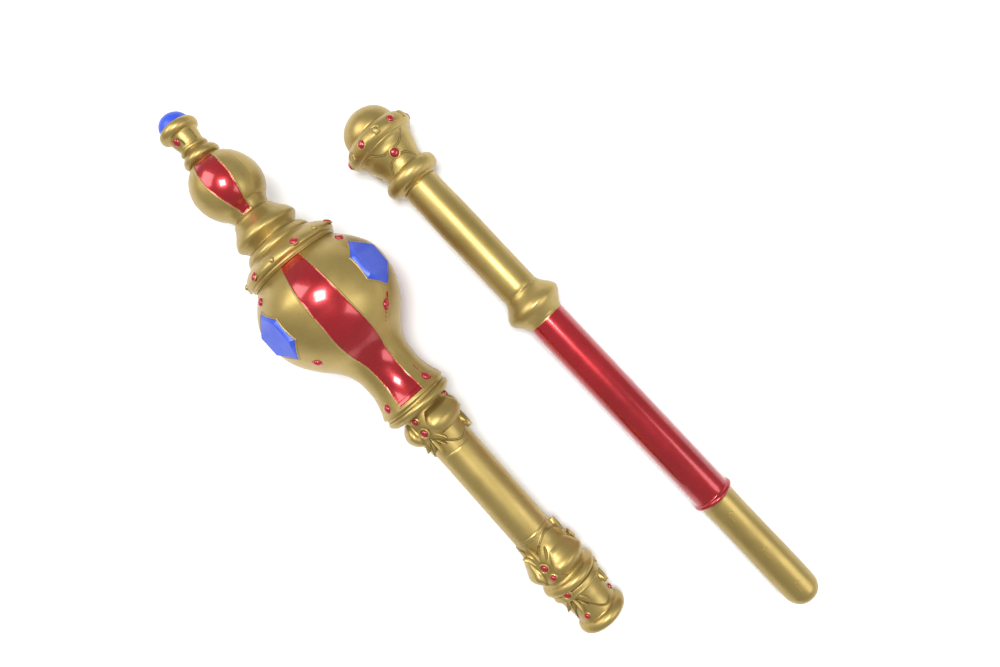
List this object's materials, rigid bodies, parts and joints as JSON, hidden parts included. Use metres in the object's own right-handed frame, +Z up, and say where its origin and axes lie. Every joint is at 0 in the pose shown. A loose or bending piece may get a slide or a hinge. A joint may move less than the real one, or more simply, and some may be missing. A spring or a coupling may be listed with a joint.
{
  "type": "toy royal sceptre taken apart in two halves",
  "caption": "Gold toy sceptre with red panels and moulded blue and red gems, pulled apart: the jewelled head half with its grip lies beside the lower staff half.",
  "frame": {"origin": "centre of the bounding box, on the floor that both halves lie on", "axes": "+X along the head half from its blue finial to its open socket, +Y across the floor towards the lower staff half, +Z up"},
  "size_m": [0.532, 0.178, 0.0965],
  "materials": {
    "gold_paint": "satin metallic gold paint on moulded plastic",
    "red_lacquer": "glossy translucent red lacquer over the gold",
    "blue_paint": "satin blue paint"
  },
  "bodies": {
    "root": {"head": "gold_paint", "grip": "gold_paint", "staff": "gold_paint"}
  },
  "joints": []
}
